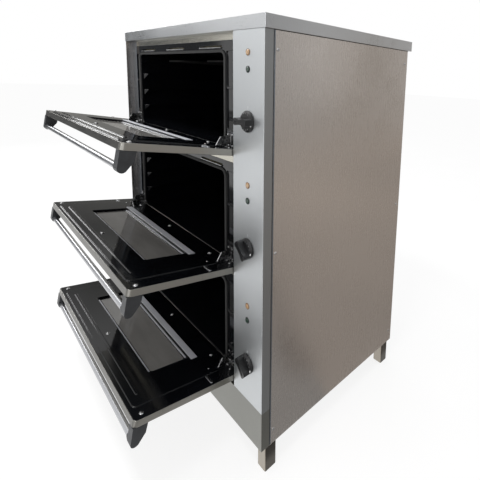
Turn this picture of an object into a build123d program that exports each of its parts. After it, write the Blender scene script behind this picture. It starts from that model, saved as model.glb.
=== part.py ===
from build123d import *
import math
import os

# Three-deck static electric oven, in millimetres.
# X runs to the right, Y from the front to the rear, Z up from the floor.
# While the pieces are drawn, X = 0 is the middle of the cabinet and Y = 0 the face of the
# control panel. The last step moves them so that the origin is under the middle of the whole.

# Cabinet
body_w = 1012
body_d = 654.5
sheet = 1.2
foot_h = 83
kick_h = 126.5
kick_gap = 4
kick_flange = 22
column_w = 150
column_return = 28
column_inner_return = 60
bend_r = 2
rear_flange = 15

# Worktop
top_edge = 36
top_sheet = 1.5
top_lip = 30
top_side = 4
top_front = 1
top_rear = 22

# Welded frame
leg_w = 40
leg_wall = 2
leg_floor = 3
front_leg_y = 15
rear_leg_inset = 19.5
post_w = 30
post_wall = 1.5
post_y = 35
rear_post_inset = 27.5
rail_gap = 0.8
bar_h = 16
bar_gap = 2.6

# Decks
decks = 3
band_h = 20.5
frame_low = 25
frame_high = 35.5
frame_y = 25
frame_d = 10
frame_gap_left = 0.8
frame_gap_right = 2
frame_r = 2
opening_side = 89
opening_h = 285
opening_r = 18
recess_depth = 3
recess_r = 6
recess_edge = 9
recess_side = 7
recess_low = 54
rib_height = 180
rib_w = 4
recess_over = 5
vent_l = 137
vent_h = 6
vent_up = 14.5
vent_step = 255
vents = 3
lip_out = 3.5
lip_h = 5.5

# Cavity
rear_room = 83.3
liner_flange = 7
ledge_out = 14
ledge_h = 24
ledge_front = 22
ledge_rear = 60
ledge_first = 75
ledge_step = 66
ledges = 3
ins_front = 40
ins_back = 40
ins_side = 30
ins_notch = 90

# Heating elements
element_r = 3.25
element_hole = 0.4
element_drop = 22
element_side = 100
element_inner = 80
element_bend = 40
element_front = 90
element_turn_room = 171.2
element_tail = 24
pocket_play = 2

# Door
door_gap = 1.5
door_t = 19
door_low = 8
door_over = 10.9
door_r = 12
door_edge_r = 1.5
pivot_in = 14
pivot_drop = 2.3
open_angle = 80
panel_play = 0.3
field_up = 2.5
field_side = 47.5
field_low = 6
field_top = 12.2
field_r = 14
bead_w = 8
bead_side = 42
bead_up = 2
bead_down = 36.2
window_side = 157
window_low = 86
window_top = 90.2
window_r = 8
window_lip = 10
window_down = 3.8
glass_t = 4
glass_play = 0.5
strip_w = 20
strip_over = 14.5
strip_t = 1.2
strip_back = 1
trim_w = 5
trim_t = 1
trim_end = 12

# Handle
tube_r = 8
tube_wall = 1.5
tube_out = 42
tube_down = 11.2
bracket_w = 26
bracket_r = 11
bracket_drop = 25
bracket_foot_out = 25
bracket_rise = 2
bracket_seat = 10
bracket_play = 0.05

# Door hinges
hinge_out = 30
pin_r = 3
pin_play = 0.05
pin_over = 2
arm_t = 3
arm_play = 0.5
arm_heel_in = 2
arm_heel_down = 5
arm_belly_out = 7.7
arm_belly_down = 14.9
arm_reach = 44.1
arm_reach_down = 8.5
arm_nose_out = 34
arm_nose_up = 26.3
arm_root_up = 36.5
arm_root_in = 6
foot_low = 6
foot_high = 12
ear_t = 2.5
ear_r = 7
ear_room = 1.5
socket_low = 20
socket_high = 50
socket_d = 38
socket_flange = 12
slot_play = 1.5
slot_low = 16
slot_high = 46

# Door seal
seal_w = 8
seal_off = 0.5
seal_play = 0.3
seal_low = 6

# Knobs, thermostats and lamps
knob_up = 95
knob_r = 30
knob_gap = 0.8
skirt_t = 8
bar_l = 58
bar_w = 20
bar_up = 18
waist_r = 60
waist = 3
slot_deep = 1.5
shaft_r = 3
shaft_play = 0.05
shaft_in = 14
shaft_seat = 12
bush_r = 5
bush_play = 0.15
stat_w = 44
stat_d = 40
lamp_r = 7.5
lamp_proud = 3
lamp_shank = 6
lamp_d = 28
amber_up = 281
green_up = 236
knob_turns = (45, 45, 0)

# Rear and fasteners
back_inset = 6.5
back_flange = 20
louvre_l = 60
louvre_h = 5
louvre_rows = 4
louvre_step = 16
louvre_cols = 6
louvre_pitch = 140
gland_r = 10
gland_nut = 14
gland_z = 175
gland_side = 76
gland_out = 14
block_l = 60
block_w = 26
block_h = 24
screw_r = 4.5
screw_head = 2.4
screw_front = 41
screw_rear = 17.5
screw_low = 48
screw_top = 51.5

# Sizes that follow from the ones above
half = body_w / 2
inner_x = half - sheet
frame_h = frame_low + opening_h + frame_high
deck_pitch = frame_h + band_h
deck_base = foot_h + kick_h + kick_gap
body_top = deck_base + decks * deck_pitch
height = body_top + top_edge
column_x0 = half - column_w
frame_x0 = -inner_x + frame_gap_left
frame_x1 = column_x0 - frame_gap_right
deck_x = (frame_x0 + frame_x1) / 2
opening_w = frame_x1 - frame_x0 - 2 * opening_side
opening_x0 = deck_x - opening_w / 2
opening_x1 = deck_x + opening_w / 2
opening_z0 = deck_base + frame_low
opening_z1 = opening_z0 + opening_h
pivot_z = opening_z0 - pivot_drop
skin_back = frame_y + sheet
kick_top = foot_h + kick_h
base_top = foot_h + leg_w
ins_t = (deck_pitch - opening_h - bar_h - bar_gap) / 2 - sheet
top_rail_h = deck_pitch - frame_low - opening_h - sheet - ins_t - rail_gap
liner_back = body_d - rear_room
mid_post_x0 = column_x0 - post_w
back_y = body_d - back_inset
knob_x = half - column_w / 2
knob_z = opening_z0 + knob_up
rear_leg_y = body_d - rear_leg_inset - leg_w
rear_post_y = body_d - rear_post_inset - post_w
element_leg = opening_w / 2 - element_side
element_turn = liner_back - element_turn_room
door_w = frame_x1 - frame_x0 - 2 * door_gap
door_high = pivot_drop + opening_h + door_over
field_w = door_w - 2 * field_side
field_high = door_high - field_top
bead_l = field_w - 2 * bead_side
bead_z = door_high - bead_down
window_w = door_w - 2 * window_side
window_high = door_high - window_top
strip_l = window_w + 2 * strip_over
tube_z = door_high - tube_down
bracket_foot = tube_z - bracket_drop
hinge_x = opening_w / 2 + hinge_out
gland_x = half - gland_side
door_x0 = deck_x - door_w / 2
door_x1 = deck_x + door_w / 2
skin_face = -pivot_in
tray_edge = door_t - pivot_in
field_y = tray_edge + field_up
lip_y = tray_edge - window_down
shaft_tip = -(knob_gap + shaft_seat)


def on_decks(shape):
    """Copies of a piece of the lowest deck, one for each deck."""
    return [Pos(0, 0, deck * deck_pitch) * shape for deck in range(decks)]


def box_sketch(x0, x1, y0, y1, r=0):
    """Rectangle between two corners, with round corners if a radius is given."""
    size = (x1 - x0, y1 - y0)
    shape = RectangleRounded(*size, r) if r else Rectangle(*size)
    return Pos((x0 + x1) / 2, (y0 + y1) / 2) * shape


def deep(outline, y0, y1):
    """Outline drawn in X and Z, from one depth to another."""
    return Pos(0, y0, 0) * extrude(Plane.XZ * outline, amount=y1 - y0, dir=(0, 1, 0))


def upright(outline, z0, z1):
    """Outline drawn in X and Y, from one height to another."""
    return Pos(0, 0, z0) * extrude(outline, amount=z1 - z0, dir=(0, 0, 1))


def across(outline, x0, x1):
    """Outline drawn in Y and Z, from one side to another."""
    return Pos(x0, 0, 0) * extrude(Plane.YZ * outline, amount=x1 - x0, dir=(1, 0, 0))


def round_bar(x, z, r, y0, y1):
    """Round bar that runs from front to rear."""
    return deep(Pos(x, z) * Circle(r), y0, y1)


def tube_sketch(x0, x1, y0, y1, wall):
    """Section of a square tube."""
    outer = box_sketch(x0, x1, y0, y1, 2 * wall)
    return outer - box_sketch(x0 + wall, x1 - wall, y0 + wall, y1 - wall, wall)


def worktop():
    """Folded top whose turned-in lips rest on the cabinet."""
    x1 = half + top_side
    y0 = -top_front
    y1 = body_d + top_rear

    def ring(inset):
        return box_sketch(-x1 + inset, x1 - inset, y0 + inset, y1 - inset)

    lid = upright(ring(0), body_top, height)
    lid = fillet(lid.edges().filter_by(Axis.Z), bend_r)
    lid = lid - upright(ring(top_sheet), body_top + top_sheet, height - top_sheet)
    return lid - upright(ring(top_lip), body_top - 1, body_top + top_sheet + 1)


def side_panel(side, y0):
    """Side sheet with a flange turned in at the rear."""
    wall = box_sketch(inner_x, half, y0, body_d)
    flange = box_sketch(half - rear_flange, half, body_d - sheet, body_d)
    panel = upright(wall + flange, foot_h, body_top)
    return panel if side > 0 else mirror(panel, Plane.YZ)


def control_panel():
    """Front column folded round the right side, with holes for shafts and lamps."""
    outer = box_sketch(column_x0, half, 0, column_inner_return)
    inner = box_sketch(column_x0 + sheet, inner_x, sheet, column_inner_return)
    clip = box_sketch(inner_x, half, column_return, column_inner_return)
    panel = upright(outer - inner - clip, kick_top, body_top)
    front = panel.edges().filter_by(Axis.Z).group_by(Axis.Y)[0]
    panel = fillet(front, sheet * 0.9)
    holes = [(knob_up, bush_r), (amber_up, lamp_shank), (green_up, lamp_shank)]
    for up, r in holes:
        panel -= on_decks(round_bar(knob_x, opening_z0 + up, r + bush_play, -1, sheet + 1))
    rail_room = box_sketch(column_x0 - 1, column_x0 + sheet + 1, post_y, column_inner_return + 1)
    return panel - upright(rail_room, body_top - top_rail_h, body_top + 1)


def kick_panel():
    """Plinth sheet below the lowest door, with a top flange and a side return."""
    front = box_sketch(-inner_x, half, 0, sheet)
    turn = box_sketch(inner_x, half, 0, column_return)
    flange = box_sketch(-inner_x, inner_x, 0, kick_flange)
    return upright(front + turn, foot_h, kick_top) + upright(flange, kick_top - sheet, kick_top)


def legs():
    """Four square-tube legs with closed feet."""
    made = []
    for x0 in (-inner_x, inner_x - leg_w):
        for y0 in (front_leg_y, rear_leg_y):
            outer = box_sketch(x0, x0 + leg_w, y0, y0 + leg_w, 2 * leg_wall)
            inner = box_sketch(x0 + leg_wall, x0 + leg_w - leg_wall,
                               y0 + leg_wall, y0 + leg_w - leg_wall, leg_wall)
            made.append(upright(outer, 0, foot_h) - upright(inner, leg_floor, foot_h + 1))
    return made


def rail_ring(y_front, y_rear, w, wall, z0, z1):
    """Four square tubes in a ring: front and rear full width, sides between them."""
    made = []
    for y0 in (y_front, y_rear):
        made.append(across(tube_sketch(y0, y0 + w, z0, z1, wall), -inner_x, inner_x))
    for x0 in (-inner_x, inner_x - w):
        made.append(deep(tube_sketch(x0, x0 + w, z0, z1, wall), y_front + w, y_rear))
    return made


def frame_posts():
    """Uprights: four corners and one between the ovens and the control column."""
    spots = [(x0, y0) for x0 in (-inner_x, inner_x - post_w) for y0 in (post_y, rear_post_y)]
    spots.append((mid_post_x0, post_y))
    tops = body_top - top_rail_h
    return [upright(tube_sketch(x0, x0 + post_w, y0, y0 + post_w, post_wall), base_top, tops)
            for x0, y0 in spots]


def deck_bars():
    """Cross tubes between the posts, two under each oven."""
    made = []
    z1 = opening_z0 - sheet - ins_t
    for y0, x1 in ((post_y, mid_post_x0), (rear_post_y, inner_x - post_w)):
        section = tube_sketch(y0, y0 + post_w, z1 - bar_h, z1, post_wall)
        made += on_decks(across(section, -inner_x + post_w, x1))
    return made


def base_panel():
    """Floor sheet on the base rails, notched round the posts."""
    panel = box_sketch(-inner_x, inner_x, front_leg_y, rear_leg_y + leg_w)
    for x0 in (-inner_x, inner_x - post_w, mid_post_x0):
        panel -= box_sketch(x0 - 1, x0 + post_w + 1, post_y - 1, post_y + post_w + 1)
    for x0 in (-inner_x, inner_x - post_w):
        panel -= box_sketch(x0 - 1, x0 + post_w + 1, rear_post_y - 1, rear_post_y + post_w + 1)
    return upright(panel, base_top, base_top + sheet)


def back_panel():
    """Rear sheet with side flanges and rows of air slots behind each oven."""
    y0 = back_y - back_flange
    outer = box_sketch(-inner_x, inner_x, y0, back_y)
    inner = box_sketch(-inner_x + sheet, inner_x - sheet, y0, back_y - sheet)
    room = box_sketch(-inner_x, inner_x, y0 - 1, back_y - sheet)
    panel = upright(outer - inner, foot_h, body_top) - upright(room, foot_h - 1, base_top + sheet)
    grid = [Pos(x, z) * Rectangle(louvre_l, louvre_h)
            for x, z in [((col - (louvre_cols - 1) / 2) * louvre_pitch,
                          opening_z1 - (row + 1) * louvre_step + deck * deck_pitch)
                         for col in range(louvre_cols) for row in range(louvre_rows)
                         for deck in range(decks)]]
    panel -= [deep(slot, back_y - sheet - 1, back_y + 1) for slot in grid]
    return panel - round_bar(gland_x, gland_z, gland_r + bush_play, back_y - sheet - 1, back_y + 1)


def dish(outline, inner, depth):
    """Pressed recess in the front frame: walls and a floor behind the skin."""
    floor = deep(outline, frame_y + depth, frame_y + depth + sheet)
    return floor + deep(outline - inner, frame_y, frame_y + depth)


def front_frame():
    """Pressed enamel frame round one opening, with recesses, vents and hinge slots."""
    z = opening_z0
    z0 = z - frame_low
    face = box_sketch(frame_x0, frame_x1, z0, z0 + frame_h, frame_r)
    inset = box_sketch(frame_x0 + sheet, frame_x1 - sheet, z0 + sheet, z0 + frame_h - sheet)
    mouth = box_sketch(opening_x0, opening_x1, z, z + opening_h, opening_r)
    skin = face - mouth
    presses = []
    for side in (-1, 1):
        edge = deck_x + side * (opening_w / 2 + recess_edge)
        rim = deck_x + side * ((frame_x1 - frame_x0) / 2 - recess_side)
        x0, x1 = min(edge, rim), max(edge, rim)
        for low, high in ((recess_low, rib_height - rib_w / 2),
                          (rib_height + rib_w / 2, opening_h + recess_over)):
            outer = box_sketch(x0, x1, z + low, z + high, recess_r)
            inner = box_sketch(x0 + sheet, x1 - sheet, z + low + sheet, z + high - sheet,
                               recess_r - sheet)
            skin -= outer
            presses.append(dish(outer, inner, recess_depth))
        hx = deck_x + side * hinge_x
        half_slot = arm_t / 2 + arm_play + ear_t + slot_play
        skin -= box_sketch(hx - half_slot, hx + half_slot, pivot_z - slot_low, pivot_z + slot_high)
    vent_z = z + opening_h + vent_up
    for n in range(vents):
        x = deck_x + (n - (vents - 1) / 2) * vent_step
        skin -= box_sketch(x - vent_l / 2, x + vent_l / 2, vent_z, vent_z + vent_h)
        presses.append(vent_lip(x, vent_z))
    frame = deep(skin, frame_y, skin_back) + deep(face - inset, frame_y, frame_y + frame_d)
    return frame + presses


def vent_lip(x, z):
    """Curled lip that carries hot air forward under one vent slot."""
    curl = lip_h - sheet
    outer = Pos(frame_y, z) * Ellipse(lip_out, curl)
    inner = Pos(frame_y, z) * Ellipse(lip_out - sheet, curl - sheet)
    quarter = box_sketch(frame_y - lip_out - 1, frame_y, z - lip_h, z)
    return across((outer - inner) & quarter, x - vent_l / 2, x + vent_l / 2)


def spacer_band():
    """Channel that closes the gap above one front frame."""
    z1 = deck_base + deck_pitch
    z0 = deck_base + frame_h
    outer = box_sketch(frame_y, frame_y + frame_d, z0, z1)
    inner = box_sketch(skin_back, frame_y + frame_d + 1, z0 + sheet, z1 - sheet)
    return across(outer - inner, frame_x0, frame_x1)


def ledge(side, z, out, inset):
    """Shelf ledge on one wall: flat on top and sloping below, as a triangle in section."""
    wall = deck_x + side * (opening_w / 2 + inset)
    return Polygon((wall, z), (wall - side * out, z), (wall, z - ledge_h * out / ledge_out),
                   align=None)


def oven_liner():
    """Enamel cavity with pressed shelf ledges and a flange behind the front frame."""
    z = opening_z0

    def mouth(grow):
        return box_sketch(opening_x0 - grow, opening_x1 + grow, z - grow, z + opening_h + grow,
                          opening_r + grow)

    liner = deep(mouth(sheet), skin_back, liner_back + sheet) - deep(mouth(0), 0, liner_back)
    liner += deep(mouth(liner_flange) - mouth(0), skin_back, skin_back + sheet)
    y0 = skin_back + ledge_front
    y1 = liner_back - ledge_rear
    for side in (-1, 1):
        for n in range(ledges):
            top = z + ledge_first + n * ledge_step
            liner += deep(ledge(side, top, ledge_out, sheet / 2), y0, y1)
            groove = ledge(side, top - sheet, ledge_out - sheet, sheet)
            liner -= deep(groove, y0 + sheet, y1 - sheet)
        leg_x = deck_x + side * element_leg
        hole = element_r + element_hole
        liner -= round_bar(leg_x, z + opening_h - element_drop, hole, liner_back - 1,
                           liner_back + sheet + 1)
    return liner


def insulation():
    """Mineral wool round one liner, cut back at the hinges and for the elements."""
    z = opening_z0
    x0, x1 = opening_x0 - sheet, opening_x1 + sheet
    z0, z1 = z - sheet, z + opening_h + sheet
    ins_end = liner_back + sheet + ins_back
    wool = deep(box_sketch(x0 - ins_side, x1 + ins_side, z0 - ins_t, z1 + ins_t), ins_front, ins_end)
    wool -= deep(box_sketch(x0, x1, z0, z1, opening_r + sheet), 0, liner_back + sheet)
    for xa, xb in ((x0 - ins_side - 1, x0), (x1, x1 + ins_side + 1)):
        wool -= deep(box_sketch(xa, xb, z0 - ins_t - 1, z1 + ins_t + 1), 0, ins_notch)
    for side in (-1, 1):
        leg_x = deck_x + side * element_leg
        hole = element_r + element_hole
        wool -= round_bar(leg_x, z + opening_h - element_drop, hole, liner_back, ins_end + 1)
    pocket_w = element_leg + element_r + pocket_play
    pocket = box_sketch(deck_x - pocket_w, deck_x + pocket_w,
                        z0 - 2 * element_r - pocket_play, z0 + 1)
    return wool - deep(pocket, element_front - element_r - pocket_play, ins_end + 1)


def heating_element(z):
    """One bent tube: two tails through the rear and two loops between them."""
    end = liner_back + sheet + ins_back + element_tail
    spots = [(-element_leg, end), (-element_leg, element_front), (-element_inner, element_front),
             (-element_inner, element_turn), (element_inner, element_turn),
             (element_inner, element_front), (element_leg, element_front), (element_leg, end)]
    route = FilletPolyline(*[(deck_x + x, y, z) for x, y in spots], radius=element_bend)
    ring = Plane(origin=(deck_x - element_leg, end, z), z_dir=(0, -1, 0)) * Circle(element_r)
    return sweep(ring, path=route)


def heating_elements():
    """One element under the roof of each cavity and one below its floor."""
    element = heating_element(0)
    heights = (opening_z1 - element_drop, opening_z0 - sheet - element_r)
    return [copy for z in heights for copy in on_decks(Pos(0, 0, z) * element)]


def door_seal():
    """Seal strip round the sides and the top of one opening."""
    z = opening_z0

    def ring(grow):
        return box_sketch(opening_x0 - grow, opening_x1 + grow, z - grow, z + opening_h + grow,
                          opening_r + grow)

    strip = ring(seal_off + seal_w) - ring(seal_off)
    strip -= box_sketch(opening_x0 - 2 * seal_w, opening_x1 + 2 * seal_w, z - 3 * seal_w,
                        z + seal_low)
    front = pivot_in + field_y + seal_play
    return deep(strip, front, frame_y)


def hinge_socket(side):
    """Cassette behind the frame, with two ears that carry the pin; drawn about the pivot."""
    hx = deck_x + side * hinge_x
    inner = arm_t / 2 + arm_play
    outer = inner + ear_t
    back = skin_back - pivot_in
    ear = Circle(ear_r) + box_sketch(0, back, -ear_r, ear_r)
    ear += box_sketch(back, back + socket_d, -socket_low, socket_high)
    ear -= Circle(pin_r + pin_play)
    body = across(ear, hx - outer, hx - inner) + across(ear, hx + inner, hx + outer)
    flange = (box_sketch(hx - outer - socket_flange, hx - inner, -socket_low, socket_high)
              + box_sketch(hx + inner, hx + outer + socket_flange, -socket_low, socket_high))
    web = box_sketch(hx - outer, hx + outer, -socket_low, socket_high)
    return (body + deep(flange, back, back + ear_t)
            + deep(web, back + socket_d - ear_t, back + socket_d))


def at_pivot(shape):
    """Place a shape that is drawn about the hinge line of the lowest door."""
    return Pos(0, pivot_in, pivot_z) * shape


def hinge_sockets():
    return [copy for side in (-1, 1) for copy in on_decks(at_pivot(hinge_socket(side)))]


def opened(shape):
    """Place a door piece, drawn closed about the hinge line, in the open rest position."""
    return at_pivot(Rot(open_angle, 0, 0) * shape)


def door_outline(inset, r):
    return box_sketch(door_x0 + inset, door_x1 - inset, -door_low + inset, door_high - inset, r)


def window(grow):
    return box_sketch(deck_x - window_w / 2 - grow, deck_x + window_w / 2 + grow,
                      window_low - grow, window_high + grow, window_r)


def hinge_room(side):
    """Space in the door's lower corner in which the fixed ears turn."""
    hx = deck_x + side * hinge_x
    wide = arm_t / 2 + arm_play + ear_t + pin_over + ear_room
    room = ear_r + ear_room
    profile = box_sketch(-room, door_t, -2 * door_low, room)
    return across(profile, hx - wide, hx + wide)


def door_skin():
    """Outer tray of the door with its window and folded edges."""
    tray = deep(door_outline(0, door_r), skin_face, tray_edge)
    tray = fillet(tray.faces().sort_by(Axis.Y)[0].edges(), door_edge_r)
    tray -= deep(door_outline(sheet, door_r - sheet), skin_face + sheet, tray_edge + 1)
    tray -= deep(window(-window_lip), skin_face - 1, skin_face + sheet + 1)
    for side in (-1, 1):
        tray -= hinge_room(side)
    return tray


def arm_profile():
    """Hinge arm in Y and Z about the pivot, door closed."""
    blade = Polygon((-arm_heel_in, -arm_heel_down), (arm_belly_out, -arm_belly_down),
                    (arm_reach, -arm_reach_down), (arm_nose_out, arm_nose_up),
                    (field_y, arm_root_up), (-arm_root_in, arm_root_up), align=None)
    root = box_sketch(skin_face + sheet + 1, field_y - sheet, 0, socket_high + foot_high)
    clear = box_sketch(skin_face, 0, -2 * door_low, ear_r + ear_room)
    return blade + (root - clear) + Circle(ear_r)


def hinge_arm(side):
    """Arm plate with its riveted pin and the foot that is screwed behind the inner panel."""
    hx = deck_x + side * hinge_x
    arm = across(arm_profile(), hx - arm_t / 2, hx + arm_t / 2)
    reach = arm_t / 2 + arm_play + ear_t + pin_over
    pin = across(Circle(pin_r), hx - reach, hx + reach)
    x0, x1 = sorted((hx, hx - side * socket_flange))
    foot = deep(box_sketch(x0, x1, socket_high - foot_low, socket_high + foot_high),
                field_y - sheet - ear_t, field_y - sheet)
    return arm + pin + foot


def door_inner_panel():
    """Pressed enamel panel: raised field, bead, deep window recess and slots for the arms."""
    play = sheet + panel_play
    rim = door_outline(play, door_r - play)
    x0, x1 = deck_x - field_w / 2, deck_x + field_w / 2
    field = box_sketch(x0, x1, field_low, field_high, field_r)
    under = box_sketch(x0 + sheet, x1 - sheet, field_low + sheet, field_high - sheet,
                       field_r - sheet)
    bead = Pos(deck_x, bead_z) * SlotOverall(bead_l, bead_w)
    hollow = Pos(deck_x, bead_z) * SlotOverall(bead_l - 2 * sheet, bead_w - 2 * sheet)
    panel = deep(rim - under, tray_edge - sheet, tray_edge)
    panel += deep(field - under, tray_edge, field_y)
    panel += deep(field - bead - window(0), field_y - sheet, field_y)
    panel += deep(bead - hollow, field_y - sheet, field_y + bead_up)
    panel += deep(bead, field_y + bead_up - sheet, field_y + bead_up)
    panel += deep(window(sheet) - window(0), lip_y - sheet, field_y)
    panel += deep(window(sheet) - window(-window_lip), lip_y - sheet, lip_y)
    for side in (-1, 1):
        hx = deck_x + side * hinge_x
        panel -= hinge_room(side)
        slot = box_sketch(hx - arm_t / 2 - arm_play, hx + arm_t / 2 + arm_play, 0, slot_high - 4)
        panel -= deep(slot, tray_edge - 2 * sheet, field_y + 1)
    return panel


def inner_glass():
    """Pane behind the lip of the window recess."""
    return deep(window(-glass_play), lip_y - sheet - glass_t, lip_y - sheet)


def outer_glass():
    """Pane bonded behind the window of the outer tray."""
    return deep(window(-glass_play), skin_face + sheet, skin_face + sheet + glass_t)


def door_trims():
    """Flat strip beside the window and the two thin strips that hold the pane."""
    z1 = window_low - strip_back
    flat = deep(box_sketch(deck_x - strip_l / 2, deck_x + strip_l / 2, z1 - strip_w, z1, 2),
                field_y, field_y + strip_t)
    made = [flat]
    reach = window_w / 2 - trim_end
    edge = (window_lip - trim_w) / 2
    for z0 in (window_low + edge, window_high - edge - trim_w):
        strip = box_sketch(deck_x - reach, deck_x + reach, z0, z0 + trim_w, 1)
        made.append(deep(strip, lip_y, lip_y + trim_t))
    return made


def handle_tube():
    """Aluminium tube that sits in the two end brackets."""
    ends = door_w / 2 - bracket_w + bracket_seat
    ring = Circle(tube_r) - Circle(tube_r - tube_wall)
    return across(Pos(skin_face - tube_out, tube_z) * ring, deck_x - ends, deck_x + ends)


def handle_bracket(side):
    """Moulded bracket from the door's corner out to the end of the tube."""
    tube_y = skin_face - tube_out
    arm = Polygon((skin_face, bracket_foot), (skin_face - bracket_foot_out, bracket_foot + bracket_rise),
                  (skin_face, tube_z + bracket_r), align=None)
    outline = make_hull(arm.edges() + (Pos(tube_y, tube_z) * Circle(bracket_r)).edges())
    inner = door_w / 2 - bracket_w
    x0, x1 = sorted((deck_x + side * inner, deck_x + side * door_w / 2))
    bracket = across(outline, x0, x1)
    xa, xb = sorted((deck_x + side * (inner - 1), deck_x + side * (inner + bracket_seat)))
    return bracket - across(Pos(tube_y, tube_z) * Circle(tube_r + bracket_play), xa, xb)


def knob(turn):
    """Round skirt with a waisted grip bar, bored for its shaft."""
    face = -knob_gap
    rise = skirt_t * 0.6
    profile = Polyline((0, face), (knob_r, face), (knob_r, face - skirt_t + rise),
                       (knob_r - rise, face - skirt_t), (0, face - skirt_t - 1), (0, face))
    body = revolve(make_face(profile), axis=Axis.Y)
    grip = RectangleRounded(bar_l, bar_w, bar_w * 0.3)
    for side in (-1, 1):
        grip -= Pos(0, side * (waist_r + bar_w / 2 - waist)) * Circle(waist_r)
    body += deep(grip, face - skirt_t - bar_up, face - skirt_t + rise)
    groove = SlotOverall(bar_l * 0.75, bar_w * 0.3)
    top = face - skirt_t - bar_up
    body -= deep(groove, top - 1, top + slot_deep)
    body -= round_bar(0, 0, shaft_r + shaft_play, shaft_tip, 1)
    return Pos(knob_x, 0, knob_z) * Rot(0, turn, 0) * body


def knob_shaft():
    """Shaft from the knob into the thermostat's bush."""
    return round_bar(knob_x, knob_z, shaft_r, shaft_tip, shaft_in)


def thermostats():
    """Switch bodies behind the panel, each with a bush through it."""
    reach = stat_w / 2
    body = deep(box_sketch(knob_x - reach, knob_x + reach, knob_z - reach, knob_z + reach, 4),
                sheet, sheet + stat_d)
    body += round_bar(knob_x, knob_z, bush_r, 0, sheet + 1)
    return on_decks(body - round_bar(knob_x, knob_z, shaft_r + shaft_play, -1, shaft_in + 1))


def pilot_lamps(up):
    """Domed lenses in front of the panel, each with its shank behind."""
    z = opening_z0 + up
    lens = chamfer(round_bar(knob_x, z, lamp_r, -lamp_proud, 0).edges().sort_by(Axis.Y)[0],
                   lamp_proud * 0.6)
    return on_decks(lens + round_bar(knob_x, z, lamp_shank, 0, lamp_d))


def panel_screws():
    """Pan-head screws through the side panels into the posts and the back panel."""
    made = []
    head = Pos(0, 0, half) * extrude(Circle(screw_r), amount=screw_head)
    head = chamfer(head.edges().sort_by(Axis.Z)[-1], screw_head * 0.4)
    screw = Rot(0, 90, 0) * head
    for y in (screw_front, body_d - screw_rear):
        for z in (foot_h + screw_low, (foot_h + body_top) / 2, body_top - screw_top):
            made.append(Pos(0, y, z) * screw)
            made.append(Pos(0, y, z) * mirror(screw, Plane.YZ))
    return made


def cable_gland():
    """Gland for the supply cable, with an unpierced membrane."""
    stem = round_bar(gland_x, gland_z, gland_r, back_y - sheet - 8, back_y)
    nut = deep(Pos(gland_x, gland_z) * RegularPolygon(gland_nut, 6), back_y, back_y + gland_out / 2)
    dome = round_bar(gland_x, gland_z, gland_r, back_y + gland_out / 2, back_y + gland_out)
    lock = deep(Pos(gland_x, gland_z) * RegularPolygon(gland_nut, 6), back_y - sheet - 5,
                back_y - sheet)
    return stem + nut + dome + lock


def terminal_block():
    """Supply terminals on the floor sheet beside the gland."""
    z0 = base_top + sheet
    x0 = gland_x - block_l / 2
    y0 = rear_leg_y - block_w - 10
    block = upright(box_sketch(x0, x0 + block_l, y0, y0 + block_w), z0, z0 + block_h)
    for n in range(5):
        x = x0 + block_l * (n + 0.5) / 5
        block -= upright(Pos(x, y0 + block_w / 2) * Rectangle(8, block_w - 8), z0 + block_h - 4,
                         z0 + block_h + 1)
    return block


def build():
    """All the nodes by name, in the drawing frame."""
    nodes = {
        "worktop": worktop(),
        "left_side_panel": side_panel(-1, 0),
        "right_side_panel": side_panel(1, column_return),
        "back_panel": back_panel(),
        "base_panel": base_panel(),
        "control_panel": control_panel(),
        "kick_panel": kick_panel(),
        "legs": legs(),
        "base_rails": rail_ring(front_leg_y, rear_leg_y, leg_w, leg_wall, foot_h, base_top),
        "frame_posts": frame_posts(),
        "top_rails": rail_ring(post_y, rear_post_y, post_w, post_wall, body_top - top_rail_h,
                               body_top),
        "deck_bars": deck_bars(),
        "spacer_bands": on_decks(spacer_band()),
        "insulation_blankets": on_decks(insulation()),
        "heating_elements": heating_elements(),
        "door_seals": on_decks(door_seal()),
        "hinge_sockets": hinge_sockets(),
        "thermostats": thermostats(),
        "amber_pilot_lamps": pilot_lamps(amber_up),
        "green_pilot_lamps": pilot_lamps(green_up),
        "panel_screws": panel_screws(),
        "cable_gland": cable_gland(),
        "terminal_block": terminal_block(),
    }
    repeated = {
        "oven_liner": oven_liner(),
        "front_frame": front_frame(),
        "knob_shaft": knob_shaft(),
        "door_skin": opened(door_skin()),
        "door_inner_panel": opened(door_inner_panel()),
        "outer_glass": opened(outer_glass()),
        "inner_glass": opened(inner_glass()),
        "door_trims": [opened(strip) for strip in door_trims()],
        "handle_tube": opened(handle_tube()),
        "handle_brackets": [opened(handle_bracket(side)) for side in (-1, 1)],
        "hinge_arms": [opened(hinge_arm(side)) for side in (-1, 1)],
    }
    for deck in range(decks):
        lift = Pos(0, 0, deck * deck_pitch)
        for piece, shape in repeated.items():
            nodes[f"{piece}_{deck + 1}"] = [lift * solid for solid in solids_of(shape)]
        nodes[f"knob_{deck + 1}"] = lift * knob(knob_turns[deck % len(knob_turns)])
    return nodes


def solids_of(shape):
    parts = shape if isinstance(shape, list) else [shape]
    return [solid for part in parts for solid in part.solids()]


def centred(nodes):
    """Move the nodes so that the origin is under the middle of the whole box."""
    outermost = nodes["worktop"] + nodes["handle_brackets_1"] + nodes["legs"]
    box = Compound(outermost).bounding_box()
    shift = Pos(-(box.min.X + box.max.X) / 2, -(box.min.Y + box.max.Y) / 2, -box.min.Z)
    return {name: [shift * s for s in solids] for name, solids in nodes.items()}, shift


drawn = {name: solids_of(shape) for name, shape in build().items()}
placed, shift = centred(drawn)
os.makedirs("parts", exist_ok=True)
for name, solids in placed.items():
    export_step(Compound(children=solids), os.path.join("parts", name + ".step"))
print(len(placed), "nodes, shift", tuple(round(v, 3) for v in shift.position))
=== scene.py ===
import math
import bmesh
import bpy
from mathutils import Matrix, Vector


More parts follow.
